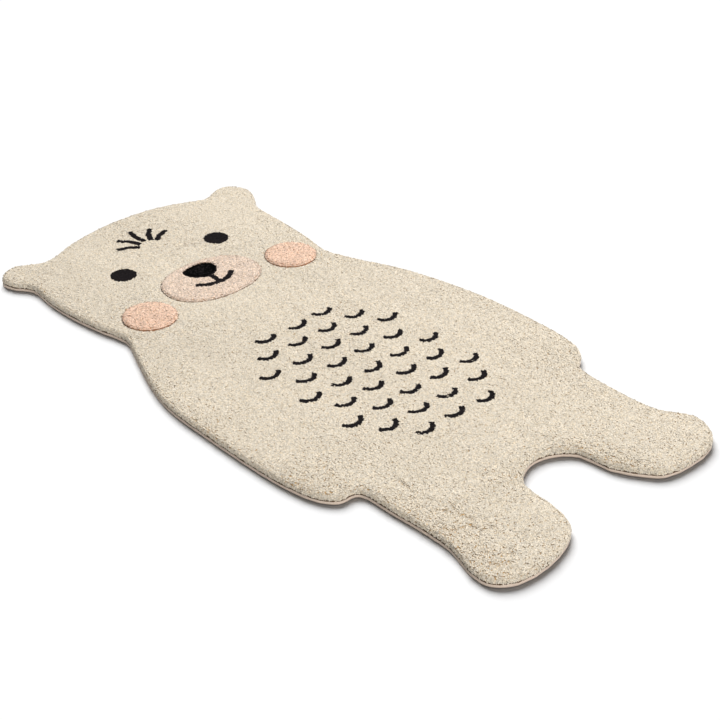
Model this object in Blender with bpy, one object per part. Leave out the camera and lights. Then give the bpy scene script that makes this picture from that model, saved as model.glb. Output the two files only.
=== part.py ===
# Animal-shaped rug for a child's room: a bear lying flat, hand tufted in cut pile.
# It runs with blender --background --python part.py, or from Blender's text editor.
# Units are metres and Z is up. The underside lies on Z = 0, +Y points at the head,
# and X = 0, Y = 0 is the middle of the rug's outer box. Left and right are a viewer's,
# looking down with the head at the top.

import math
from collections import namedtuple

import bmesh
import bpy
import numpy as np

MM = 0.001

# Driving dimensions
RUG_WIDTH = 600 * MM
RUG_LENGTH = 1200 * MM
HEM_HEIGHT = 6.5 * MM  # turned rim of the backing cloth, with the latex inside it
HEM_WIDTH = 8 * MM
HEM_FLAT = 0.2 * MM  # upright stretch between the hem's two rounded corners
CLOTH_THICKNESS = 3 * MM  # backing cloth, latex and the cloth that carries the tufts
PILE_HEIGHT = 16 * MM  # top of the cream pile above the floor
PILE_SETBACK = 1 * MM  # the roll of pile stands this far inside the hem
ROLL_RADIUS = 4.5 * MM  # rounding of the pile at the rug's edge
GAP = 0.3 * MM  # between pieces that touch

# Unevenness of the sheared pile
LUMP_HEIGHT = 0.9 * MM
LUMP_PITCH = 54 * MM

# Carved line around each area of another yarn, and the rounding of the area's own rim
CARVE_RADIUS = 2.4 * MM
AREA_ROUNDING = 4 * MM

# How finely curves are cut into straight steps
LONGEST_STEP = 28 * MM
LARGEST_TURN = math.radians(14)
AREA_STEPS = 36
ROUNDING_STEPS = 1  # Blender's bevel_resolution

# Heights closer than this are the same height
LEVEL = 0.01 * MM

# The outline as a maker would mark it out on a 5 mm grid: across from the centre line and
# up from the line of the feet, on the right side. The last two columns say where the left
# side, once mirrored, was cut differently: its ear is smaller and its arm a little fuller.
Station = namedtuple("Station", "place across up left_across left_up")
OUTLINE = [
    Station("crown", 0, 1200, 0, 0),
    Station("crown_side", 100, 1195, 0, -15),
    Station("crown_end", 160, 1175, 0, -20),
    Station("ear_front", 195, 1160, -10, -5),
    Station("ear_rise", 220, 1170, 0, 5),
    Station("ear_top", 250, 1180, -5, -10),
    Station("ear_side", 275, 1165, -10, -15),
    Station("ear_tip", 285, 1130, -25, -10),
    Station("ear_under", 265, 1090, -20, 10),
    Station("ear_back", 250, 1070, -10, 10),
    Station("temple", 245, 1040, 0, 0),
    Station("cheek", 240, 970, 5, 0),
    Station("jaw", 230, 890, 5, 0),
    Station("neck", 220, 840, 5, 0),
    Station("shoulder", 235, 785, 10, 0),
    Station("upper_arm", 265, 710, 10, 0),
    Station("arm", 285, 635, 10, 0),
    Station("elbow", 300, 525, 0, 0),
    Station("forearm", 300, 410, 0, 0),
    Station("wrist", 295, 350, 0, 0),
    Station("hand", 285, 310, 0, 0),
    Station("hand_end", 265, 285, 0, 0),
    Station("hip", 240, 270, -5, 10),
    Station("thigh", 230, 225, 0, 0),
    Station("ankle", 230, 110, 0, 0),
    Station("heel", 255, 65, -10, 0),
    Station("toe", 245, 30, 0, 0),
    Station("toe_end", 215, 5, 0, 0),
    Station("sole", 160, 0, 0, 0),
    Station("sole_inside", 110, 10, 0, 0),
    Station("toe_inside", 90, 30, -10, 0),
    Station("shin", 65, 75, 0, 0),
    Station("fork", 60, 125, 0, 0),
    Station("crotch_side", 35, 150, 0, 0),
    Station("crotch", 0, 160, 0, 0),
]

# Areas tufted in another yarn, marked out in the same millimetres, with the height of
# their pile above the floor. Each stands in a pocket of the pile that it is within.
# corner is a superellipse's power: 2 is round, and more is squarer. taper narrows the
# lower end by that share of the width.
Area = namedtuple("Area", "name within across up width height corner taper top yarn")
AREAS = [
    Area("cheek_pile_left", "body_pile", -158, 862, 92, 92, 2.0, 0.0, 21, "peach_yarn"),
    Area("cheek_pile_right", "body_pile", 159, 866, 93, 92, 2.0, 0.0, 21, "peach_yarn"),
    Area("muzzle_pile", "body_pile", 1, 896, 190, 134, 2.2, 0.0, 20, "blush_yarn"),
    Area("nose_pile", "muzzle_pile", 2, 926, 74, 48, 2.3, 0.35, 21.5, "black_yarn"),
]

# Colour, roughness and metallic value
MATERIALS = {
    "cream_yarn": ((0.72, 0.64, 0.52), 0.95, 0.0),
    "blush_yarn": ((0.76, 0.58, 0.47), 0.95, 0.0),
    "peach_yarn": ((0.80, 0.53, 0.38), 0.95, 0.0),
    "black_yarn": ((0.015, 0.013, 0.014), 0.95, 0.0),
    "backing_cotton": ((0.66, 0.57, 0.45), 0.90, 0.0),
}


def clear_scene():
    for obj in list(bpy.data.objects):
        bpy.data.objects.remove(obj, do_unlink=True)


def make_collection(name):
    collection = bpy.data.collections.new(name)
    bpy.context.scene.collection.children.link(collection)
    return collection


def make_materials():
    made = {}
    for name, (colour, roughness, metallic) in MATERIALS.items():
        material = bpy.data.materials.new(name)
        material.use_nodes = True
        shader = material.node_tree.nodes["Principled BSDF"]
        shader.inputs["Base Color"].default_value = (*colour, 1.0)
        shader.inputs["Roughness"].default_value = roughness
        shader.inputs["Metallic"].default_value = metallic
        made[name] = material
    return made


# Plane outlines: arrays of points that run anticlockwise as seen from above


def marked_out():
    """The stations of both sides, anticlockwise."""
    right = [(s.across, s.up) for s in OUTLINE]
    left = [(-s.across - s.left_across, s.up + s.left_up) for s in OUTLINE[1:-1]]
    return np.array(left + right[::-1], float) * MM


def between(a, b, at_a, at_b, at):
    share = ((at - at_a) / (at_b - at_a))[:, None]
    return a * (1 - share) + b * share


def curved_span(p0, p1, p2, p3, steps):
    """Points from p1 up to p2 on the centripetal Catmull-Rom curve through all four."""
    chords = [np.linalg.norm(p1 - p0), np.linalg.norm(p2 - p1), np.linalg.norm(p3 - p2)]
    k0, k1, k2, k3 = np.cumsum([0, *np.sqrt(chords)])
    at = np.linspace(k1, k2, steps, endpoint=False)
    a = between(p0, p1, k0, k1, at)
    b = between(p1, p2, k1, k2, at)
    c = between(p2, p3, k2, k3, at)
    return between(between(a, b, k0, k2, at), between(b, c, k1, k3, at), k1, k2, at)


def turn_between(first, second):
    cross = first[0] * second[1] - first[1] * second[0]
    return abs(math.atan2(cross, first @ second))


def drawn_outline():
    """The outer edge through all the stations, in more and shorter steps where it bends."""
    marks = marked_out()
    spans = []
    for i in range(len(marks)):
        p0, p1, p2, p3 = (marks[(i + k) % len(marks)] for k in range(-1, 3))
        by_length = np.linalg.norm(p2 - p1) / LONGEST_STEP
        by_turn = turn_between(p2 - p0, p3 - p1) / LARGEST_TURN
        spans.append(curved_span(p0, p1, p2, p3, math.ceil(max(by_length, by_turn, 1))))
    return np.vstack(spans)


def area_outline(area):
    """The edge of an area of yarn: a superellipse that may narrow towards its lower end."""
    turn = np.linspace(0, 2 * math.pi, AREA_STEPS, endpoint=False)
    across, up = np.cos(turn), np.sin(turn)
    across = np.sign(across) * np.abs(across) ** (2 / area.corner)
    up = np.sign(up) * np.abs(up) ** (2 / area.corner)
    across = across * (1 - area.taper * (1 - up) / 2)
    ring = np.stack([across * area.width, up * area.height], axis=1) / 2
    return (ring + [area.across, area.up]) * MM


def to_rug(ring, drawn):
    """A ring on the drawing, moved and scaled as the drawn outline is to fit the rug's box."""
    low, high = drawn.min(axis=0), drawn.max(axis=0)
    return (ring - (low + high) / 2) * [RUG_WIDTH, RUG_LENGTH] / (high - low)


def inset(ring, distance):
    """The ring moved inwards by the distance, or outwards where that is negative."""
    along = np.roll(ring, -1, axis=0) - ring
    along /= np.linalg.norm(along, axis=1)[:, None]
    inward = np.stack([-along[:, 1], along[:, 0]], axis=1)
    mitre = inward + np.roll(inward, 1, axis=0)
    return ring + mitre * (2 * distance / (mitre**2).sum(axis=1))[:, None]


# Solids


def ring_curve(name, ring, height, collection):
    data = bpy.data.curves.new(name, "CURVE")
    spline = data.splines.new("POLY")
    spline.points.add(len(ring) - 1)
    for point, (x, y) in zip(spline.points, ring):
        point.co = (x, y, 0.0, 1.0)
    spline.use_cyclic_u = True
    obj = bpy.data.objects.new(name, data)
    obj.location.z = height
    collection.objects.link(obj)
    return obj


def to_mesh_object(curve_object, collection):
    """A mesh object with welded caps in place of a curve object, which is removed."""
    bpy.context.view_layer.update()
    graph = bpy.context.evaluated_depsgraph_get()
    mesh = bpy.data.meshes.new_from_object(curve_object.evaluated_get(graph))
    name, placed = curve_object.name, curve_object.matrix_world.copy()
    bpy.data.objects.remove(curve_object, do_unlink=True)
    obj = bpy.data.objects.new(name, mesh)
    obj.matrix_world = placed
    collection.objects.link(obj)
    bm = bmesh.new()
    bm.from_mesh(mesh)
    bmesh.ops.remove_doubles(bm, verts=bm.verts[:], dist=LEVEL)
    bmesh.ops.recalc_face_normals(bm, faces=bm.faces[:])
    bm.to_mesh(mesh)
    bm.free()
    return obj


def slab(name, ring, low, high, collection, rounding=0.0):
    """A flat piece between two heights, its rims rounded inside the ring that it fills."""
    obj = ring_curve(name, ring, (low + high) / 2, collection)
    obj.data.dimensions = "2D"
    obj.data.fill_mode = "BOTH"
    obj.data.extrude = (high - low) / 2 - rounding
    obj.data.bevel_depth = rounding
    obj.data.bevel_resolution = ROUNDING_STEPS
    obj.data.offset = -rounding
    return to_mesh_object(obj, collection)


def ring_tube(name, ring, height, radius, collection):
    obj = ring_curve(name, ring, height, collection)
    obj.data.dimensions = "3D"
    obj.data.bevel_depth = radius
    obj.data.bevel_resolution = ROUNDING_STEPS
    return to_mesh_object(obj, collection)


def combine(target, tool, operation):
    """Applies a Boolean at once, so that what follows works on the finished mesh."""
    tool.hide_render = True
    tool.display_type = "WIRE"
    modifier = target.modifiers.new(operation.lower(), "BOOLEAN")
    modifier.operation = operation
    modifier.object = tool
    bpy.context.view_layer.update()
    graph = bpy.context.evaluated_depsgraph_get()
    mesh = bpy.data.meshes.new_from_object(target.evaluated_get(graph))
    target.modifiers.clear()
    target.data = mesh


def lump(x, y):
    """Height of the sheared surface above its mean: long soft swells that never line up."""
    long_swell = math.sin(x / 0.047 + 1.3) * math.sin(y / 0.062 + 0.4)
    slanting_swell = math.sin((x + 0.6 * y) / 0.031 + 2.1)
    return LUMP_HEIGHT * (0.6 * long_swell + 0.4 * slanting_swell)


def faces_level_with(bm, top):
    return [f for f in bm.faces if all(top - v.co.z < LEVEL for v in f.verts)]


def cut_across(bm, top, axis, extent):
    """Cuts the flat top along evenly spaced lines square to the axis."""
    normal = np.eye(3)[axis]
    for at in np.arange(LUMP_PITCH / 2 - extent / 2, extent / 2, LUMP_PITCH):
        faces = faces_level_with(bm, top)
        edges = {e for f in faces for e in f.edges}
        verts = {v for f in faces for v in f.verts}
        bmesh.ops.bisect_plane(
            bm, geom=[*faces, *edges, *verts], plane_co=normal * at, plane_no=normal
        )


def make_uneven(obj):
    """Cuts the flat top into cells and lifts or lowers their corners, but leaves the rim."""
    bm = bmesh.new()
    bm.from_mesh(obj.data)
    bm.transform(obj.matrix_world)
    top = max(v.co.z for v in bm.verts)
    cut_across(bm, top, 0, RUG_WIDTH)
    cut_across(bm, top, 1, RUG_LENGTH)
    cells = faces_level_with(bm, top)
    inner = {v for f in cells for v in f.verts if set(v.link_faces) <= set(cells)}
    bmesh.ops.triangulate(bm, faces=cells)
    for vert in inner:
        vert.co.z += lump(vert.co.x, vert.co.y)
    bm.transform(obj.matrix_world.inverted())
    bm.to_mesh(obj.data)
    bm.free()


def finish(obj, material, base):
    obj.data.materials.clear()
    obj.data.materials.append(material)
    obj.data.shade_smooth()
    obj.data.set_sharp_from_angle(angle=math.radians(40))
    obj.parent = base


# Pieces


def make_backing(outline, rug, tools):
    """The backing cloth with its turned hem: a tray whose rim shows all round under the pile."""
    backing = slab("backing_cloth", outline, 0, HEM_HEIGHT, rug, (HEM_HEIGHT - HEM_FLAT) / 2)
    recess = slab("recess", inset(outline, HEM_WIDTH), CLOTH_THICKNESS, 2 * HEM_HEIGHT, tools)
    combine(backing, recess, "DIFFERENCE")
    return backing


def make_body_pile(outline, rug, tools):
    """The cream pile: a rounded roll that leans out over the hem, on a foot inside the hem."""
    roll_ring = inset(outline, PILE_SETBACK)
    body = slab("body_pile", roll_ring, HEM_HEIGHT + GAP, PILE_HEIGHT, rug, ROLL_RADIUS)
    make_uneven(body)
    foot_ring = inset(outline, HEM_WIDTH + GAP)
    foot_top = (HEM_HEIGHT + PILE_HEIGHT) / 2
    foot = slab("foot", foot_ring, CLOTH_THICKNESS + GAP, foot_top, tools)
    combine(body, foot, "UNION")
    return body


def make_area(area, ring, around, around_top, rug, tools):
    """An area of another yarn, in a pocket of the pile around it and behind a carved line."""
    pocket_ring = inset(ring, -GAP)
    pocket = slab(f"pocket_{area.name}", pocket_ring, 0, 2 * PILE_HEIGHT, tools)
    combine(around, pocket, "DIFFERENCE")
    carving = ring_tube(f"carving_{area.name}", pocket_ring, around_top, CARVE_RADIUS, tools)
    combine(around, carving, "DIFFERENCE")
    return slab(area.name, ring, CLOTH_THICKNESS + GAP, area.top * MM, rug, AREA_ROUNDING)


def build():
    clear_scene()
    rug = make_collection("bear_rug")
    tools = make_collection("tools")
    materials = make_materials()
    drawn = drawn_outline()
    outline = to_rug(drawn, drawn)

    backing = make_backing(outline, rug, tools)
    piles = {"body_pile": make_body_pile(outline, rug, tools)}
    tops = {"body_pile": PILE_HEIGHT}
    for area in AREAS:
        ring = to_rug(area_outline(area), drawn)
        around, around_top = piles[area.within], tops[area.within]
        piles[area.name] = make_area(area, ring, around, around_top, rug, tools)
        tops[area.name] = area.top * MM

    base = bpy.data.objects.new("rug_base", None)
    rug.objects.link(base)
    finish(backing, materials["backing_cotton"], base)
    finish(piles["body_pile"], materials["cream_yarn"], base)
    for area in AREAS:
        finish(piles[area.name], materials[area.yarn], base)


build()
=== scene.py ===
# Animal-shaped kids rug: cut pile in four yarns, tufted over a hemmed canvas.
# Lengths are metres, or millimetres where they are multiplied by mm. Angles are degrees.
import math

import bmesh
import bpy
import numpy as np
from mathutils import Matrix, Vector
from mathutils.bvhtree import BVHTree
from mathutils.kdtree import KDTree


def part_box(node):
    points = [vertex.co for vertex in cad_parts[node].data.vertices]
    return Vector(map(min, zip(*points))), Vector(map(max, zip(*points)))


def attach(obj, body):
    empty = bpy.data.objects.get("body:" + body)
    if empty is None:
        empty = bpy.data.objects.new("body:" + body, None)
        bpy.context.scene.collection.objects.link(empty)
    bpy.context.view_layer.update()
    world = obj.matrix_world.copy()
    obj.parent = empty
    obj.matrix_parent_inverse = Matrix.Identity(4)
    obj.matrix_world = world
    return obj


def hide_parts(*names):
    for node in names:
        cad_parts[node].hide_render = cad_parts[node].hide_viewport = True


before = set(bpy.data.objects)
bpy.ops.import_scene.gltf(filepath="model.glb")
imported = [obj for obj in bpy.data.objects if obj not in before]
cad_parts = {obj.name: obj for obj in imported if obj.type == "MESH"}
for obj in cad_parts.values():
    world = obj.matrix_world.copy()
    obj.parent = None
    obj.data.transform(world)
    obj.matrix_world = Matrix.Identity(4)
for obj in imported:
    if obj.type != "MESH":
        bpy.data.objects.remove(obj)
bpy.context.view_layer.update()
mm = 0.001
chance = np.random.default_rng(11)
scene = bpy.context.scene
print("frame loaded:", ", ".join(sorted(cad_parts)))


# Shader maths: a wire is one socket, and sums and products of wires add Math nodes
class Wire:
    def __init__(self, finish, socket):
        self.finish = finish
        self.socket = socket

    def maths(self, operation, first, second=0.0):
        return self.finish.node("Math", {"operation": operation}, {0: first, 1: second})

    def __add__(self, other):
        return self.maths("ADD", self, other)

    def __sub__(self, other):
        return self.maths("SUBTRACT", self, other)

    def __rsub__(self, other):
        return self.maths("SUBTRACT", other, self)

    def __mul__(self, other):
        return self.maths("MULTIPLY", self, other)

    __radd__ = __add__
    __rmul__ = __mul__

    def wave(self):  # sine, in radians
        return self.maths("SINE", self)


class Finish:
    # one material, with a single method for every kind of node
    def __init__(self, name, **uniform):
        self.material = bpy.data.materials.new(name)
        self.material.use_nodes = True
        self.tree = self.material.node_tree
        self.shader = self.tree.nodes["Principled BSDF"]
        for socketName, value in uniform.items():
            self.shader.inputs[socketName.replace("_", " ")].default_value = value

    def feed(self, socket, value):
        if isinstance(value, Wire):
            self.tree.links.new(value.socket, socket)
        else:
            socket.default_value = value

    def node(self, kind, settings=None, values=None, output=0):
        made = self.tree.nodes.new("ShaderNode" + kind)
        for setting, value in (settings or {}).items():
            setattr(made, setting, value)
        for socketName, value in (values or {}).items():
            self.feed(made.inputs[socketName], value)
        return Wire(self, made.outputs[output])

    def place(self):
        return self.node("TexCoord", output="Object")

    def height(self):
        parts = self.node("SeparateXYZ", values={0: self.place()})
        return Wire(self, parts.socket.node.outputs[2])

    def stretched(self, scale):
        return self.node("Mapping", values={"Vector": self.place(), "Scale": scale})

    def grain(self, scale, detail=2.0, vector=None):
        vector = vector or self.place()
        values = {"Vector": vector, "Scale": scale, "Detail": detail}
        return self.node("TexNoise", values=values, output="Fac")

    def ramp(self, wire, low, high):
        # 0 where the wire is low, 1 where it is high
        return self.node("MapRange", values={0: wire, 1: low, 2: high})

    def blend(self, share, first, second):
        # Mix has a set of sockets for each type: 6 and 7 take colours, and output 2 gives one
        return self.node("Mix", {"data_type": "RGBA"}, {0: share, 6: first, 7: second}, output=2)

    def dim(self, colour, amount):
        values = {0: colour, "Scale": amount}
        return self.node("VectorMath", {"operation": "SCALE"}, values)

    def relief(self, height, distance, strength=1.0):
        values = {"Height": height, "Distance": distance, "Strength": strength}
        self.feed(self.shader.inputs["Normal"], self.node("Bump", values=values, output="Normal"))

    def colour(self, value):
        self.feed(self.shader.inputs["Base Color"], value)


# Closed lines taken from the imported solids
def sectionRings(nodeName, height):
    # where a level plane cuts the node, the longest ring first, as complex numbers
    bm = bmesh.new()
    bm.from_mesh(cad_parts[nodeName].data)
    bmesh.ops.remove_doubles(bm, verts=bm.verts[:], dist=0.01 * mm)
    every = bm.verts[:] + bm.edges[:] + bm.faces[:]
    cut = bmesh.ops.bisect_plane(bm, geom=every, plane_co=(0, 0, height), plane_no=(0, 0, 1))
    # a dict keeps the edges in order, so that each ring starts at the same one each run
    edges = dict.fromkeys(part for part in cut["geom_cut"] if isinstance(part, bmesh.types.BMEdge))
    rings = []
    while edges:
        edge = next(iter(edges))
        del edges[edge]
        start, here = edge.verts
        ring = [start]
        while here is not start:
            ring.append(here)
            edge = next(other for other in here.link_edges if other in edges)
            del edges[edge]
            here = edge.other_vert(here)
        rings.append(np.array([complex(vert.co.x, vert.co.y) for vert in ring]))
    bm.free()
    return sorted(rings, key=lambda ring: -abs(np.diff(ring)).sum())


def evenly(points, spacing, shift=0.0):
    # the same closed line with evenly spaced points
    closed = np.append(points, points[0])
    run = np.concatenate([[0], np.cumsum(abs(np.diff(closed)))])
    count = max(6, round(run[-1] / spacing))
    at = (np.arange(count) + shift) * run[-1] / count
    return np.interp(at % run[-1], run, closed.real) + 1j * np.interp(at % run[-1], run, closed.imag)


class Ring:
    # a smooth closed line, run anticlockwise, which knows how deep inside it a point lies
    step = 1.5 * mm

    def __init__(self, points, softness=2 * mm):
        area = (points.conj() * (np.roll(points, -1) - points)).imag.sum()
        points = evenly(points if area > 0 else points[::-1], self.step)
        waves = np.fft.fftfreq(len(points), self.step) * 2 * math.pi
        self.points = np.fft.ifft(np.fft.fft(points) * np.exp(-((waves * softness) ** 2) / 2))
        along = np.roll(self.points, -1) - np.roll(self.points, 1)
        self.inward = 1j * along / abs(along)
        self.search = KDTree(len(self.points))
        for index, point in enumerate(self.points):
            self.search.insert((point.real, point.imag, 0), index)
        self.search.balance()

    def inset(self, distance):
        return self.points + self.inward * distance

    def depth(self, point):
        return self.across(point)[0]

    def across(self, point):
        # how deep inside the line a point lies, and the way out
        _, index, _ = self.search.find((point.real, point.imag, 0))
        gap = point - self.points[index]
        return (gap * self.inward[index].conjugate()).real, -self.inward[index]

    def row(self, distance, spacing):
        # points along an inset line, and the way out at each
        line = evenly(self.inset(distance), spacing, chance.random())
        away = []
        for point in line:
            _, index, _ = self.search.find((point.real, point.imag, 0))
            away.append(-self.inward[index])
        return line, np.array(away)


rugEdge = Ring(sectionRings("backing_cloth", 3.25 * mm)[0])
areas = {
    name: Ring(sectionRings(name, 12 * mm)[0])
    for name in ("muzzle_pile", "nose_pile", "cheek_pile_left", "cheek_pile_right")
}
areaTops = {name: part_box(name)[1].z for name in areas}


# The pile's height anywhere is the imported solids' own
def pileSurface():
    corners, faces = [], []
    for name in ("body_pile", *areas):
        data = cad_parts[name].data
        start = len(corners)
        corners += [vert.co.copy() for vert in data.vertices]
        faces += [[start + index for index in face.vertices] for face in data.polygons]
    return BVHTree.FromPolygons(corners, faces)


surface = pileSurface()


def topAt(point):
    hit = surface.ray_cast(Vector((point.real, point.imag, 0.1)), Vector((0, 0, -1)))[0]
    return hit.z if hit else 16 * mm


print("outlines read:", len(rugEdge.points), "points round the edge")


# Where the pile is ruffled instead of smooth, and where it has parted in short cracks
ruffles = {
    "everywhere": 0.04,
    "edgeReach": 9 * mm,
    "edgeAmount": 0.46,
    "edgeSide": (-0.7, -0.7),  # the way out where the edge is ruffled in full
    "edgeLeast": 0.3,  # share of it on the other side
    "patches": [  # across, up, reach and amount
        (-205, -485, 50, 0.38),
        (-225, -550, 34, 0.45),
        (-215, -400, 45, 0.25),
        (-70, -445, 40, 0.38),
        (-262, -255, 50, 0.40),
        (-285, -60, 45, 0.22),
        (-270, 90, 60, 0.18),
        (60, -462, 20, 0.40),
        (78, -505, 22, 0.45),
        (92, -545, 22, 0.40),
        (90, 60, 25, 0.30),
    ],
}
partings = {
    "reach": 6.5 * mm,
    "lean": 32,
    "sink": 0.9 * mm,
    "lines": [  # corners of each crack, in millimetres
        [(-202, -426), (-192, -427), (-184, -437), (-182, -446)],
        [(-213, -460), (-208, -472), (-196, -478), (-184, -479), (-182, -496), (-163, -508)],
        [(-179, -345), (-183, -367)],
        [(-168, -431), (-175, -456), (-172, -476)],
        [(-180, -551), (-188, -560)],
        [(-221, -553), (-220, -562), (-200, -568)],
    ],
}


def ruffle(point):
    depth, out = rugEdge.across(point)
    facing = max(0, (out.conjugate() * complex(*ruffles["edgeSide"])).real)
    least = ruffles["edgeLeast"]
    edge = math.exp(-max(0, depth) / ruffles["edgeReach"]) * (least + (1 - least) * facing)
    amount = ruffles["everywhere"] + ruffles["edgeAmount"] * edge
    for across, up, reach, strength in ruffles["patches"]:
        away = abs(point - complex(across, up) * mm) / (reach * mm)
        amount += strength * math.exp(-(away**2))
    return min(1.0, amount)


def alongLine(corners, spacing):
    # evenly spaced points on an open line
    line = np.array([complex(*corner) for corner in corners])
    run = np.concatenate([[0], np.cumsum(abs(np.diff(line)))])
    at = np.linspace(0, run[-1], max(2, round(run[-1] / spacing) + 1))
    return np.interp(at, run, line.real) + 1j * np.interp(at, run, line.imag)


partingPoints = np.concatenate([alongLine(line, 2) for line in partings["lines"]]) * mm


# The bed of tufts: every tuft's tip, the way it leans, its size and its yarn
pile = {
    "pitch": 2.85 * mm,
    "rowSpacing": 2.7 * mm,
    "rimSpacing": 2.9 * mm,
    "jitter": (0.18, 0.30),  # shares of the pitch, across and along the rows
    "closest": 0.72,  # share of the pitch, nearer than which none is set
    "fillClosest": 0.84,  # the same where gaps are filled
    "edge": 5.0 * mm,  # nearer to the rug's edge stand the rim's own rows
    "blackSize": 1.15,
    "leanSpread": 6,
    "ruffledLeanSpread": 24,
    "heightSpread": 0.15 * mm,
    "ruffledHeightSpread": 0.80 * mm,
}
nap = {  # lean of the whole pile towards the feet, where it has been stroked flat
    "lean": 9,
    "least": 0.6,  # share of it that is everywhere, and the share that comes and goes
    "swing": 0.4,
    "swingUp": 0.13,  # metres for each radian of these slow waves
    "swingAcross": 0.05,
    "swirl": 0.8,  # how far it turns aside, in radians
    "swirlAcross": 0.06,
    "swirlUp": 0.09,
    "steepest": 30,  # tufts that lean further than this aren't stroked
}


class Bed:
    cellSize = 3 * mm

    def __init__(self):
        self.tufts = []
        self.cells = {}

    def cell(self, tip):
        return int(tip[0] // self.cellSize), int(tip[1] // self.cellSize)

    def near(self, tip, distance):
        across, up = self.cell(tip)
        for column in (across - 1, across, across + 1):
            for line in (up - 1, up, up + 1):
                for other in self.cells.get((column, line), ()):
                    if math.dist(other, tip) < distance:
                        return True
        return False

    def plant(self, point, height, away, lean, piece, closest=0.0, size=1.0):
        tip = (point.real, point.imag, height)
        if closest and self.near(tip, closest):
            return False
        self.cells.setdefault(self.cell(tip), []).append(tip)
        size *= pile["blackSize"] if piece == "black" else 1
        self.tufts.append((*tip, away.real, away.imag, lean, size, piece))
        return True


bed = Bed()
rim = {
    "rows": [  # inset from the rug's edge, height above the floor, and lean outwards
        (3.6 * mm, 15.5 * mm, 20),
        (1.9 * mm, 14.3 * mm, 42),
        (0.8 * mm, 12.4 * mm, 62),
        (0.5 * mm, 10.5 * mm, 74),
        (0.9 * mm, 8.9 * mm, 80),
    ],
    "shift": (-0.1, 0.25),  # outwards, mean and spread in millimetres
    "rise": 0.3,  # spread in millimetres
    "closest": 0.6,
}
border = {
    "row": 1.0 * mm,  # the first row, inside the carved line
    "gap": 0.9 * mm,  # and how near the line the pile outside it starts
    "round": 2.4 * mm,  # reach of the rounding on both sides
    "drop": 2.3 * mm,
    "dropOutside": 0.3 * mm,
    "lean": 38,
    "leanSpread": 10,
    "leanOutside": 6,
    "shift": 0.45,  # spreads in millimetres
    "rise": 0.35,
    "closest": 0.55,
    "open": 2.2 * mm,  # from here inwards the area's own pile starts
    "reach": 8 * mm,  # the line is felt no further outside than this
    "lowest": 15.4 * mm,
}


def plantRim():
    for inset, height, lean in rim["rows"]:
        for point, away in zip(*rugEdge.row(inset, pile["rimSpacing"])):
            point += away * chance.normal(*rim["shift"]) * mm
            level = height + chance.normal(0, rim["rise"]) * mm
            bed.plant(point, level, away, lean, "cream", rim["closest"] * pile["pitch"])


def plantBorders():
    for name, ring in areas.items():
        for point, away in zip(*ring.row(border["row"], pile["rowSpacing"])):
            point += away * chance.normal(0, border["shift"]) * mm
            height = areaTops[name] - border["drop"] + chance.normal(0, border["rise"]) * mm
            lean = border["lean"] + chance.normal(0, border["leanSpread"])
            bed.plant(point, height, away, lean, name, border["closest"] * pile["pitch"])


# The drawing, in millimetres up from the middle of the rug: plain round eyes, a short
# mouth, a forelock and rows of small scallops down the front
eyes = {
    "across": 104,
    "up": 411,
    "radius": 23,
    "rim": 2,  # the outermost ring of tufts stands this far inside
    "gap": 2.3,
    "ragged": 0.4,
    "lean": 4,
    "rise": 0.3 * mm,
}
mouth = {
    "width": 9,
    "strokes": [
        [(2, 300), (1.5, 277)],
        [(-38, 287), (-26, 277), (-9, 271), (7, 270.5), (25, 276), (39, 288)],
    ],
}
forelock = {
    "up": 468,
    "root": 24,
    "length": 48,
    "width": 9,
    "turns": [-62, -31, 2, 33, 60],
    "bow": 3.5,
    "shortening": 300,  # degrees aside at which nothing would be left
}
scallops = {
    "middle": (0, -95),
    "halfWidth": 150,
    "halfHeight": 225,
    "rowPitch": 45,
    "columnPitch": 64,
    "radius": 19,
    "reach": 66,  # degrees each way from the lowest point
    "corners": 7,
    "width": 7,
    "shift": 1.6,
    "tilt": 5,
}
strokes = {
    "gap": 2.3,
    "ragged": 0.35,  # spreads across and along the stroke
    "uneven": 0.45,
    "leanSpread": 5,
    "rise": 0.2 * mm,
    "closest": 1.5 * mm,
}


def strokeRows(corners, width, piece):
    # rows of black tufts side by side along a line, the outer ones a little ragged
    gap = strokes["gap"]
    line = alongLine(corners, gap) * mm
    along = np.gradient(line)
    along /= abs(along)
    rows = max(2, round(width / gap))
    for row in np.linspace(-0.5, 0.5, rows):
        for point, way in zip(line, along):
            aside = row * (width - gap) + chance.normal(0, strokes["ragged"])
            point = point + 1j * way * aside * mm
            point += way * chance.normal(0, strokes["uneven"]) * mm
            lean = chance.normal(0, strokes["leanSpread"])
            bed.plant(point, topAt(point) + strokes["rise"], way, lean, piece, strokes["closest"])


def plantEyes():
    for side in (-1, 1):
        middle = complex(side * eyes["across"], eyes["up"])
        for radius in np.arange(eyes["radius"] - eyes["rim"], 0, -eyes["gap"]):
            count = max(1, round(2 * math.pi * radius / eyes["gap"]))
            for turn in np.arange(count) / count * 2 * math.pi + chance.random():
                away = complex(math.cos(turn), math.sin(turn))
                point = (middle + away * (radius + chance.normal(0, eyes["ragged"]))) * mm
                height = topAt(point) + eyes["rise"]
                bed.plant(point, height, away, eyes["lean"], "black", strokes["closest"])


def plantForelock():
    root = complex(0, forelock["up"])
    for turn in forelock["turns"]:
        way = complex(math.sin(math.radians(turn)), math.cos(math.radians(turn)))
        bow = 1j * way * math.copysign(forelock["bow"], turn)
        start = root + way * forelock["root"]
        end = start + way * forelock["length"] * (1 - abs(turn) / forelock["shortening"])
        middle = (start + end) / 2 + bow
        corners = [(part.real, part.imag) for part in (start, middle, end)]
        strokeRows(corners, forelock["width"], "black")


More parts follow.
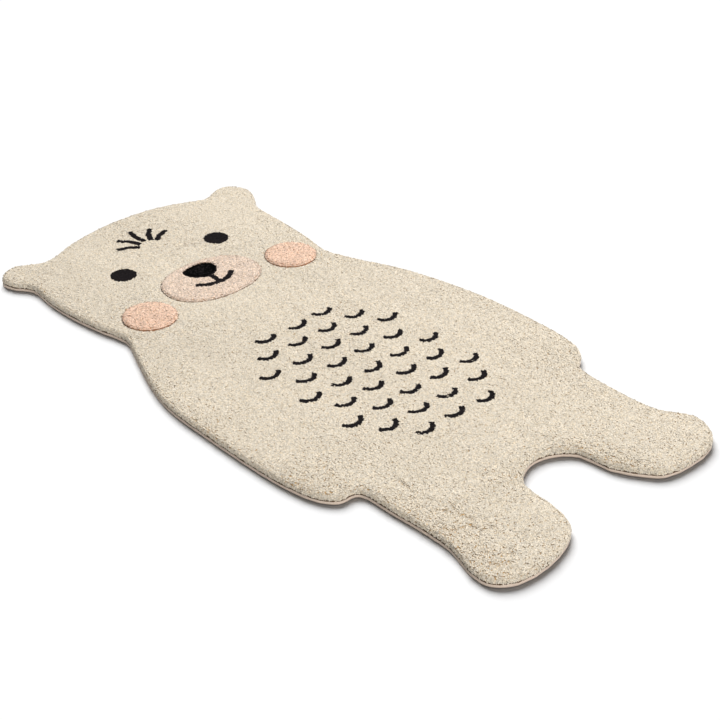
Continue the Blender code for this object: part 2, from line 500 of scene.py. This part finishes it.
def plantScallops():
    across, up = scallops["middle"]
    rows = int(scallops["halfHeight"] // scallops["rowPitch"])
    for row in range(-rows, rows + 1):
        columns = int(scallops["halfWidth"] // scallops["columnPitch"]) + 1
        for column in range(-columns, columns + 1):
            x = (column + 0.5 * (row % 2)) * scallops["columnPitch"]
            y = row * scallops["rowPitch"]
            if (x / scallops["halfWidth"]) ** 2 + (y / scallops["halfHeight"]) ** 2 > 1:
                continue
            shift = complex(*chance.normal(0, scallops["shift"], 2))
            middle = complex(across + x, up + y) + shift
            tilt = chance.normal(0, scallops["tilt"])
            fan = np.linspace(-1, 1, scallops["corners"]) * scallops["reach"]
            turns = np.radians(fan + tilt - 90)
            arc = middle + scallops["radius"] * np.exp(1j * turns)
            strokeRows([(part.real, part.imag) for part in arc], scallops["width"], "black")


def lieAt(point):
    # the yarn of the open pile here, its height, which way it leans and how far
    if rugEdge.depth(point) < pile["edge"]:
        return None
    height, away, lean, found = topAt(point), 1, 0, "cream"
    for name, ring in areas.items():
        depth, outward = ring.across(point)
        if depth > 0:
            if depth < border["open"]:
                return None
            found = name
            fall = math.exp(-(depth - border["row"]) / border["round"])
            height = min(height, areaTops[name]) - border["drop"] * fall
            away, lean = outward, border["lean"] * fall
        elif depth > -border["reach"]:
            if depth > -border["gap"]:
                return None
            fall = math.exp((depth + border["gap"]) / border["round"])
            height = max(height, border["lowest"]) - border["dropOutside"] * fall
            away, lean = -outward, border["leanOutside"] * fall
    return found, height, away, lean


def plantOpenPile():
    # rows from head to foot, half a pitch apart in step, then finer ones where those left gaps
    low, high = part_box("body_pile")
    passes = ((pile["pitch"], pile["closest"]), (pile["pitch"] / 2, pile["fillClosest"]))
    for pitch, closest in passes:
        rows = np.arange(low.x, high.x, pitch * math.sqrt(3) / 2)
        for count, x in enumerate(rows):
            for y in np.arange(low.y, high.y, pitch) + pitch / 2 * (count % 2):
                point = complex(x, y) + complex(*chance.normal(0, pile["jitter"])) * pitch / 2
                if bed.near((point.real, point.imag, topAt(point)), closest * pile["pitch"]):
                    continue
                lie = lieAt(point)
                if lie:
                    piece, height, away, lean = lie
                    bed.plant(point, height, away, lean, piece, closest * pile["pitch"])


plantRim()
plantBorders()
plantEyes()
for stroke in mouth["strokes"]:
    strokeRows(stroke, mouth["width"], "black")
plantForelock()
plantScallops()
drawn = len(bed.tufts)
plantOpenPile()
print("tufts planted:", len(bed.tufts), "of which", drawn, "along lines")


# What one tuft looks like: a short column of yarn with a domed, slightly uneven cut end
tuft = {
    "sides": 4,
    "rootRadius": 1.2 * mm,
    "tipRadius": 2.28 * mm,
    "length": 3.4 * mm,
    "ridge": 0.40 * mm,  # two opposite corners of the cut end stand higher
    "unevenness": 0.18 * mm,
    "forms": 13,
    "ruffledSize": 0.80,  # how much slimmer a tuft is that stands apart
    "sizes": (0.93, 1.09),
    "mostLean": 80,
    "wander": 0.7,  # share of the spread in each direction
}
# Cut ends fill the left of the map named OFBake, and sides the right
bakeMap = {"ends": 0.8, "sides": 0.24, "sidesFrom": 0.805}


def tuftForm():
    bm = bmesh.new()
    bmesh.ops.create_cone(
        bm,
        cap_ends=True,
        segments=tuft["sides"],
        radius1=tuft["rootRadius"],
        radius2=tuft["tipRadius"],
        depth=tuft["length"],
    )
    bottom = min(bm.faces, key=lambda face: face.calc_center_median().z)
    bmesh.ops.delete(bm, geom=[bottom], context="FACES_ONLY")
    cutEnd = max(bm.faces, key=lambda face: face.calc_center_median().z)
    bmesh.ops.split_edges(bm, edges=cutEnd.edges[:])
    ridge = [cutEnd.verts[0], cutEnd.verts[2]]
    bmesh.ops.connect_verts(bm, verts=ridge)
    for vert in bm.verts:
        vert.co.z -= tuft["length"] / 2
    for vert in ridge:
        vert.co.z += tuft["ridge"]
    for vert in bm.verts:
        vert.co += Vector(chance.normal(0, tuft["unevenness"], 3))
    bm.verts.index_update()
    corners = np.array([vert.co for vert in bm.verts])
    faces = [[vert.index for vert in face.verts] for face in bm.faces]
    bm.free()
    return corners, [f for f in faces if len(f) == 4], [f for f in faces if len(f) == 3]


forms = [tuftForm() for _ in range(tuft["forms"])]
formCorners = np.array([form[0] for form in forms])
sideFaces, endFaces = np.array(forms[0][1]), np.array(forms[0][2])


def leanings(tufts):
    # unit vectors up each tuft: its own lean, the nap, the ruffles and any parting beside it
    count = len(tufts)
    points = np.array([complex(each[0], each[1]) for each in tufts])
    away = np.array([complex(each[3], each[4]) for each in tufts])
    lean = np.radians([each[5] for each in tufts])
    amount = np.array([ruffle(point) for point in points])
    spread = pile["leanSpread"] + (pile["ruffledLeanSpread"] - pile["leanSpread"]) * amount
    tilt = away * np.tan(np.clip(lean, 0, math.radians(tuft["mostLean"])))
    across = chance.normal(0, tuft["wander"], count)
    tilt += np.tan(np.radians(spread)) * (across + 1j * chance.normal(0, tuft["wander"], count))
    swirl = np.sin(points.real / nap["swirlAcross"] + 1) * np.cos(points.imag / nap["swirlUp"])
    wave = np.sin(points.imag / nap["swingUp"] + points.real / nap["swingAcross"])
    stroke = math.tan(math.radians(nap["lean"])) * (nap["least"] + nap["swing"] * wave)
    way = np.exp(1j * (swirl * nap["swirl"] - math.pi / 2))
    tilt += stroke * way * (lean < math.radians(nap["steepest"]))
    gaps = abs(points[:, None] - partingPoints[None, :])
    nearest = gaps.argmin(axis=1)
    gap = gaps[np.arange(count), nearest]
    pull = np.clip(1 - gap / partings["reach"], 0, 1)
    apart = (points - partingPoints[nearest]) / np.maximum(gap, 0.1 * mm)
    tilt += apart * pull * math.tan(math.radians(partings["lean"]))
    heightSpread = pile["heightSpread"] + (pile["ruffledHeightSpread"] - pile["heightSpread"]) * amount
    drop = chance.normal(0, 1, count) * heightSpread + pull**2 * partings["sink"]
    up = np.stack([tilt.real, tilt.imag, np.ones(count)], axis=1)
    return up / np.linalg.norm(up, axis=1)[:, None], drop, amount


def plantPiece(name, tufts):
    # one mesh of all these tufts, with the faces of their sides first and their cut ends last
    up, drop, amount = leanings(tufts)
    count = len(tufts)
    tips = np.array([each[:3] for each in tufts]) - up * drop[:, None]
    size = np.array([each[6] for each in tufts]) * chance.uniform(*tuft["sizes"], count)
    size *= 1 - (1 - tuft["ruffledSize"]) * amount
    spin = chance.uniform(0, 2 * math.pi, count)
    side = np.cross(up, np.stack([np.cos(spin), np.sin(spin), np.zeros(count)], axis=1))
    side /= np.linalg.norm(side, axis=1)[:, None]
    turned = np.stack([side, np.cross(up, side), up], axis=2)
    corners = formCorners[chance.integers(0, len(forms), count)] * size[:, None, None]
    places = np.einsum("nij,nkj->nki", turned, corners) + tips[:, None, :]
    perTuft = corners.shape[1]
    starts = np.arange(count)[:, None, None] * perTuft
    sides = (sideFaces[None] + starts).reshape(-1, 4)
    ends = (endFaces[None] + starts).reshape(-1, 3)
    loops = np.concatenate([sides.ravel(), ends.ravel()])
    loopStarts = np.concatenate([np.arange(len(sides)) * 4, sides.size + np.arange(len(ends)) * 3])
    mesh = bpy.data.meshes.new(name)
    mesh.vertices.add(count * perTuft)
    mesh.vertices.foreach_set("co", places.ravel())
    mesh.loops.add(len(loops))
    mesh.loops.foreach_set("vertex_index", loops)
    mesh.polygons.add(len(loopStarts))
    mesh.polygons.foreach_set("loop_start", loopStarts)
    mesh.polygons.foreach_set("use_smooth", np.ones(len(loopStarts), bool))
    mesh.update(calc_edges=True)
    tone = np.repeat(chance.uniform(0, 1, count), perTuft)
    # each corner's height up its tuft, which the cut pile's material turns into painted shade towards
    # the root
    tip = (corners[:, :, 2] / tuft["length"] + 1).clip(0, 1).ravel()
    shades = np.stack([tone, tip, np.repeat(amount, perTuft), np.ones_like(tone)], axis=1)
    shading = mesh.color_attributes.new("tuft", "FLOAT_COLOR", "POINT")
    shading.data.foreach_set("color", shades.ravel())
    flat = places.reshape(-1, 3)[:, :2]
    flat = (flat - flat.min(axis=0)) / (flat.max(axis=0) - flat.min(axis=0))
    mapped = flat[loops] * [bakeMap["ends"], 1]
    onSides = mapped[: sides.size] * [bakeMap["sides"], 1] + [bakeMap["sidesFrom"], 0]
    mapped[: sides.size] = onSides
    mesh.uv_layers.new(name="OFBake").data.foreach_set("uv", mapped.ravel())
    piece = bpy.data.objects.new(name, mesh)
    scene.collection.objects.link(piece)
    print(name, count, "tufts")
    return piece


# Cut pile: pale at the cut ends, with painted shade down each tuft towards its root, painted
# light and shade in slow streaks for the way that the pile lies, and the fluff of single fibres as
# fine relief
# each yarn's end is its own colour; its root colour is that yarn darkened and browned as painted shade
# between the tufts
yarns = {
    "cream": {"end": (0.61, 0.547, 0.45), "root": (0.60, 0.40, 0.20), "spread": 0.22, "fluff": 1.9},
    "blush": {"end": (0.63, 0.51, 0.42), "root": (0.60, 0.38, 0.25), "spread": 0.36, "fluff": 2.6},
    "peach": {"end": (0.69, 0.49, 0.375), "root": (0.66, 0.33, 0.18), "spread": 0.36, "fluff": 2.4},
    "black": {"end": (0.009, 0.007, 0.008), "root": (0.003, 0.003, 0.003), "spread": 0.6, "fluff": 2},
}


cutPile = {
    "sheen": 0.12,
    "paintedNapShade": 0.16,
    "paintedNapShadeScale": (38, 7, 38),  # long across the rug's width, for painted streaks of light and shade
    "fibreScale": 760,
    "fibreRelief": 0.4 * mm,
    "paintedShadeSpan": (0.35, 0.86),  # from root to end, as shares of a tuft's length: below it the root colour as painted shade, above it the yarn's own colour
    "warmScale": 260,
    "warmPatches": (0.42, 0.72),
    "warmth": (1.0, 0.94, 0.84),
}


def pileFinish(name):
    yarn = yarns[name]
    sheen = 0.0 if name == "black" else cutPile["sheen"]
    finish = Finish(
        name + "CutPile",
        Roughness=0.95,
        Sheen_Weight=sheen,
        Sheen_Roughness=0.6,
        Specular_IOR_Level=0.1,
    )
    tufts = finish.node("Attribute", {"attribute_name": "tuft"}, output="Color")
    parts = finish.node("SeparateColor", values={0: tufts})
    tone = parts
    tip = Wire(finish, parts.socket.node.outputs[1])
    # painted light and shade in slow streaks, where the lie of the pile would catch the light
    paintedNapShade = finish.grain(1.0, 3.0, finish.stretched(cutPile["paintedNapShadeScale"]))
    fibre = finish.grain(cutPile["fibreScale"])
    share = finish.ramp(tip, *cutPile["paintedShadeSpan"])
    shade = 1 + (tone - 0.5) * yarn["spread"] + (paintedNapShade - 0.5) * cutPile["paintedNapShade"]
    shade += (fibre - 0.5) * yarn["fluff"]
    warm = [part * fade for part, fade in zip(yarn["end"], cutPile["warmth"])]
    warmth = finish.ramp(finish.grain(cutPile["warmScale"]), *cutPile["warmPatches"])
    end = finish.blend(warmth, (*yarn["end"], 1), (*warm, 1))
    # the root colour low on each tuft is painted shade between the tufts
    finish.colour(finish.dim(finish.blend(share, (*yarn["root"], 1), end), shade))
    finish.relief(fibre, cutPile["fibreRelief"], 0.5)
    return finish.material


finishes = {name: pileFinish(name) for name in yarns}
yarnOf = {
    "cream": "cream",
    "black": "black",
    "muzzle_pile": "blush",
    "nose_pile": "black",
    "cheek_pile_left": "peach",
    "cheek_pile_right": "peach",
}


def dress(piece, material, slot, *nodes):
    piece.data.materials.append(material)
    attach(piece, "root")
    if nodes:
        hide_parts(*nodes)
    return piece


pilePieces = []
creamTufts = sorted((each for each in bed.tufts if each[7] == "cream"), key=lambda each: each[1])
bands = ("feet", "legs", "belly", "chest", "head")
for place, name in enumerate(bands):
    start = len(creamTufts) * place // len(bands)
    stop = len(creamTufts) * (place + 1) // len(bands)
    piece = plantPiece(f"cream_tufts_{name}", creamTufts[start:stop])
    pilePieces.append(dress(piece, finishes["cream"], "cream_yarn", "body_pile"))
piece = plantPiece("black_tufts_drawing", [each for each in bed.tufts if each[7] == "black"])
pilePieces.append(dress(piece, finishes["black"], "black_yarn"))
for name in areas:
    tufts = [each for each in bed.tufts if each[7] == name]
    piece = plantPiece(name.replace("_pile", "_tufts"), tufts)
    yarn = yarnOf[name]
    pilePieces.append(dress(piece, finishes[yarn], yarn + "_yarn", name))


# The imported yarn below the cut ends, seen only through gaps, coloured in the yarns' root colours as
# painted shade between the tufts
roots = {
    "bodyDepth": 0.75 * mm,
    "raisedDepth": 1.1 * mm,
    "shade": 0.7,
    # dark brown, partly the tufted cloth's own edge and partly painted shade in the crease over the
    # hem
    "cloth": (0.13, 0.075, 0.035),
    "clothAndShadeTop": 9.0 * mm,
    "blotchScale": 420,
    "blotchRelief": 1.0 * mm,
}


def rootsFinish(yarn):
    # yarn above, in its root colour as painted shade between the tufts, and below the brown edge of
    # the tufted cloth where the pile springs from it, darkened as painted shade in the crease over the
    # hem
    finish = Finish(yarn + "Roots", Roughness=1.0, Specular_IOR_Level=0.0)
    blotch = finish.grain(roots["blotchScale"], 3.0)
    # the yarn's root colour, darker still in blotches: painted shade seen through the gaps between the
    # tufts
    colour = yarns[yarn]["root"]
    dark = [part * roots["shade"] for part in colour]
    packed = finish.blend(blotch, (*colour, 1), (*dark, 1))
    share = finish.ramp(finish.height(), roots["clothAndShadeTop"], roots["clothAndShadeTop"] + mm)
    finish.colour(finish.blend(share, (*roots["cloth"], 1), packed))
    finish.relief(blotch, roots["blotchRelief"], 0.8)
    return finish.material


def sunkenCopy(name, nodeName):
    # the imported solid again, drawn in all over so that it lies under the cut ends
    bm = bmesh.new()
    bm.from_mesh(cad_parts[nodeName].data)
    bmesh.ops.remove_doubles(bm, verts=bm.verts[:], dist=0.01 * mm)
    bm.normal_update()
    depth = roots["bodyDepth" if nodeName == "body_pile" else "raisedDepth"]
    moves = [vert.normal * -depth for vert in bm.verts]
    for vert, move in zip(bm.verts, moves):
        vert.co += move
    mesh = bpy.data.meshes.new(name)
    bm.to_mesh(mesh)
    bm.free()
    piece = bpy.data.objects.new(name, mesh)
    scene.collection.objects.link(piece)
    return piece


rootsMaterials = {yarn: rootsFinish(yarn) for yarn in yarns}
for name in ("body_pile", *areas):
    yarn = yarnOf.get(name, "cream")
    piece = sunkenCopy(name.replace("_pile", "_roots"), name)
    pilePieces.append(dress(piece, rootsMaterials[yarn], yarn + "_yarn", name))
print("roots set")


# The canvas: flat on the floor, turned up round the edge into a plump hem
canvas = {
    "sections": [  # inset and height, from the hidden inner side, over the hem and under it
        (7.4, 5.2),
        (6.2, 6.2),
        (4.6, 6.6),
        (3.0, 6.5),
        (1.7, 6.0),
        (0.7, 5.0),
        (0.15, 3.8),
        (0.1, 2.6),
        (0.6, 1.4),
        (1.6, 0.5),
        (3.2, 0.05),
        (12.5, 0.0),
        (13.3, 0.8),
    ],
    "spacing": 3,
    "unevenness": 0.16,
    "beats": (31, 53, 97, 171),  # waves of the unevenness, round the whole edge
    "thread": 0.9,  # of the weave
    "relief": 0.25,
    "cloth": (0.64, 0.52, 0.42, 1),
    "ragged": 2.4,  # how far the brown band comes and goes: the tufted cloth's edge, darkened as painted shade in the crease
    "brown": (6.6, 7.0),  # heights between which the hem gives way to it
}


# The hem is lofted: a ring of edges is drawn out again and again to the next section
def ringOfEdges(bm, points, height):
    station = bm.verts.layers.int.get("station") or bm.verts.layers.int.new("station")
    verts = [bm.verts.new((point.real, point.imag, height)) for point in points]
    for index, vert in enumerate(verts):
        vert[station] = index
    return [bm.edges.new((verts[index - 1], verts[index])) for index in range(len(verts))]


def drawOut(bm, edges, points, heights):
    station = bm.verts.layers.int.get("station")
    drawnOut = bmesh.ops.extrude_edge_only(bm, edges=edges)["geom"]
    for part in drawnOut:
        if isinstance(part, bmesh.types.BMVert):
            index = part[station]
            part.co = (points[index].real, points[index].imag, heights[index])
    return [part for part in drawnOut if isinstance(part, bmesh.types.BMEdge) and part.is_boundary]


def loftedPiece(name, ring, sections, spacing, unevenness):
    # each section is an inset and a height, and those on the floor stay flat
    bm = bmesh.new()
    base = Ring(evenly(ring.points, Ring.step), softness=1 * mm)
    keep = slice(None, None, max(1, round(spacing / Ring.step)))
    count = len(base.points[keep])
    turn = np.arange(count) / count * 2 * math.pi
    waver = sum(np.sin(turn * beats + beats) / beats**0.35 for beats in canvas["beats"])
    waver *= unevenness
    inset, height = sections[0]
    edges = ringOfEdges(bm, base.inset(inset)[keep], height)
    for inset, height in sections[1:]:
        grip = 1 if 0.5 * mm < height else 0
        points = base.inset(inset)[keep] + base.inward[keep] * waver * grip
        edges = drawOut(bm, edges, points, height + waver * 0.6 * grip)
    bmesh.ops.triangle_fill(bm, use_beauty=True, use_dissolve=False, edges=edges)
    bmesh.ops.recalc_face_normals(bm, faces=bm.faces[:])
    mesh = bpy.data.meshes.new(name)
    bm.to_mesh(mesh)
    bm.free()
    mesh.shade_smooth()
    mesh.set_sharp_from_angle(angle=math.radians(50))
    piece = bpy.data.objects.new(name, mesh)
    scene.collection.objects.link(piece)
    return piece


def canvasFinish():
    finish = Finish("hemCanvas", Roughness=0.9, Sheen_Weight=0.15, Sheen_Roughness=0.5)
    thread = 2 * math.pi / (canvas["thread"] * mm)
    axes = finish.node("SeparateXYZ", values={0: finish.place()})
    x, y, z = (Wire(finish, axes.socket.node.outputs[index]) for index in range(3))
    weave = (x * thread).wave() * (y * thread).wave() + (z * thread).wave() * 0.5
    blotch = finish.grain(60, 4.0)
    slub = finish.grain(700, 2.0)
    shade = 1 + (blotch - 0.5) * 0.25 + (slub - 0.5) * 0.20 + weave * 0.05
    # the hem's top turns dark brown: partly the tufted cloth's own edge, partly painted shade in the
    # crease under the pile
    ragged = finish.grain(90, 3.0) * (canvas["ragged"] * mm)
    share = finish.ramp(z + ragged, *(height * mm for height in canvas["brown"]))
    cloth = finish.blend(share, canvas["cloth"], (*roots["cloth"], 1))
    finish.colour(finish.dim(cloth, shade))
    finish.relief(weave * 0.5 + slub, canvas["relief"] * mm, 0.8)
    return finish.material


hem = loftedPiece(
    "backing_canvas",
    rugEdge,
    [(inset * mm, height * mm) for inset, height in canvas["sections"]],
    canvas["spacing"] * mm,
    canvas["unevenness"] * mm,
)
dress(hem, canvasFinish(), "backing_cotton", "backing_cloth")
print("canvas hemmed")


# Floor, light and camera, which looks the way that the photograph was taken
floorSettings = {"halfSize": 6, "colour": (0.93, 0.93, 0.93, 1)}


def makeFloor():
    bm = bmesh.new()
    bmesh.ops.create_grid(bm, x_segments=1, y_segments=1, size=floorSettings["halfSize"])
    mesh = bpy.data.meshes.new("floor")
    bm.to_mesh(mesh)
    bm.free()
    floor = bpy.data.objects.new("floor", mesh)
    scene.collection.objects.link(floor)
    finish = Finish("paleFloor", Roughness=1.0, Specular_IOR_Level=0.0)
    finish.colour(floorSettings["colour"])
    mesh.materials.append(finish.material)
    return floor


lights = {
    "toFloor": {"place": (1.6, 2.7, 3.4), "spread": 44, "energy": 4.2},
    "far": {"place": (1.9, 1.0, 2.5), "size": 2.6, "energy": 120},
    "near": {"place": (-1.1, -3.4, 3.1), "size": 3.2, "energy": 194},
    "room": {"colour": (0.96, 0.97, 1, 1), "strength": 0.13},
}


def addLight(name, kind, setting, receivers):
    light = bpy.data.lights.new(name, kind)
    light.energy = setting["energy"]
    if kind == "SUN":
        light.angle = math.radians(setting["spread"])
    else:
        light.shape = "DISK"
        light.size = setting["size"]
    lamp = bpy.data.objects.new(name, light)
    lamp.location = setting["place"]
    lamp.rotation_euler = (-Vector(setting["place"])).to_track_quat("-Z", "Y").to_euler()
    scene.collection.objects.link(lamp)
    lit = bpy.data.collections.new(name + "Receivers")
    for receiver in receivers:
        lit.objects.link(receiver)
    lamp.light_linking.receiver_collection = lit


def makeLight(floor):
    # a wide soft light from beyond the head, for the shadow at the near edges
    addLight("lightToFloor", "SUN", lights["toFloor"], [floor])
    # and for the rug a soft light on each side
    addLight("farLight", "AREA", lights["far"], [*pilePieces, hem])
    addLight("nearLight", "AREA", lights["near"], [*pilePieces, hem])
    world = bpy.data.worlds.new("paleRoom")
    world.use_nodes = True
    backdrop = world.node_tree.nodes["Background"]
    backdrop.inputs["Color"].default_value = lights["room"]["colour"]
    backdrop.inputs["Strength"].default_value = lights["room"]["strength"]
    scene.world = world


view = {
    "place": (-1.2985, -1.4309, 1.1837),
    "heading": (0.69296, 0.72098),
    "down": 31.918,
    "lens": 69.666,
}


def makeCamera():
    data = bpy.data.cameras.new("camera")
    data.lens = view["lens"]
    data.sensor_width = 36
    camera = bpy.data.objects.new("camera", data)
    camera.location = view["place"]
    down = math.radians(view["down"])
    level = Vector((*view["heading"], 0)).normalized()
    look = level * math.cos(down) + Vector((0, 0, -math.sin(down)))
    camera.rotation_euler = look.to_track_quat("-Z", "Y").to_euler()
    scene.collection.objects.link(camera)
    scene.camera = camera


makeLight(makeFloor())
scene.view_settings.view_transform = "Standard"
makeCamera()
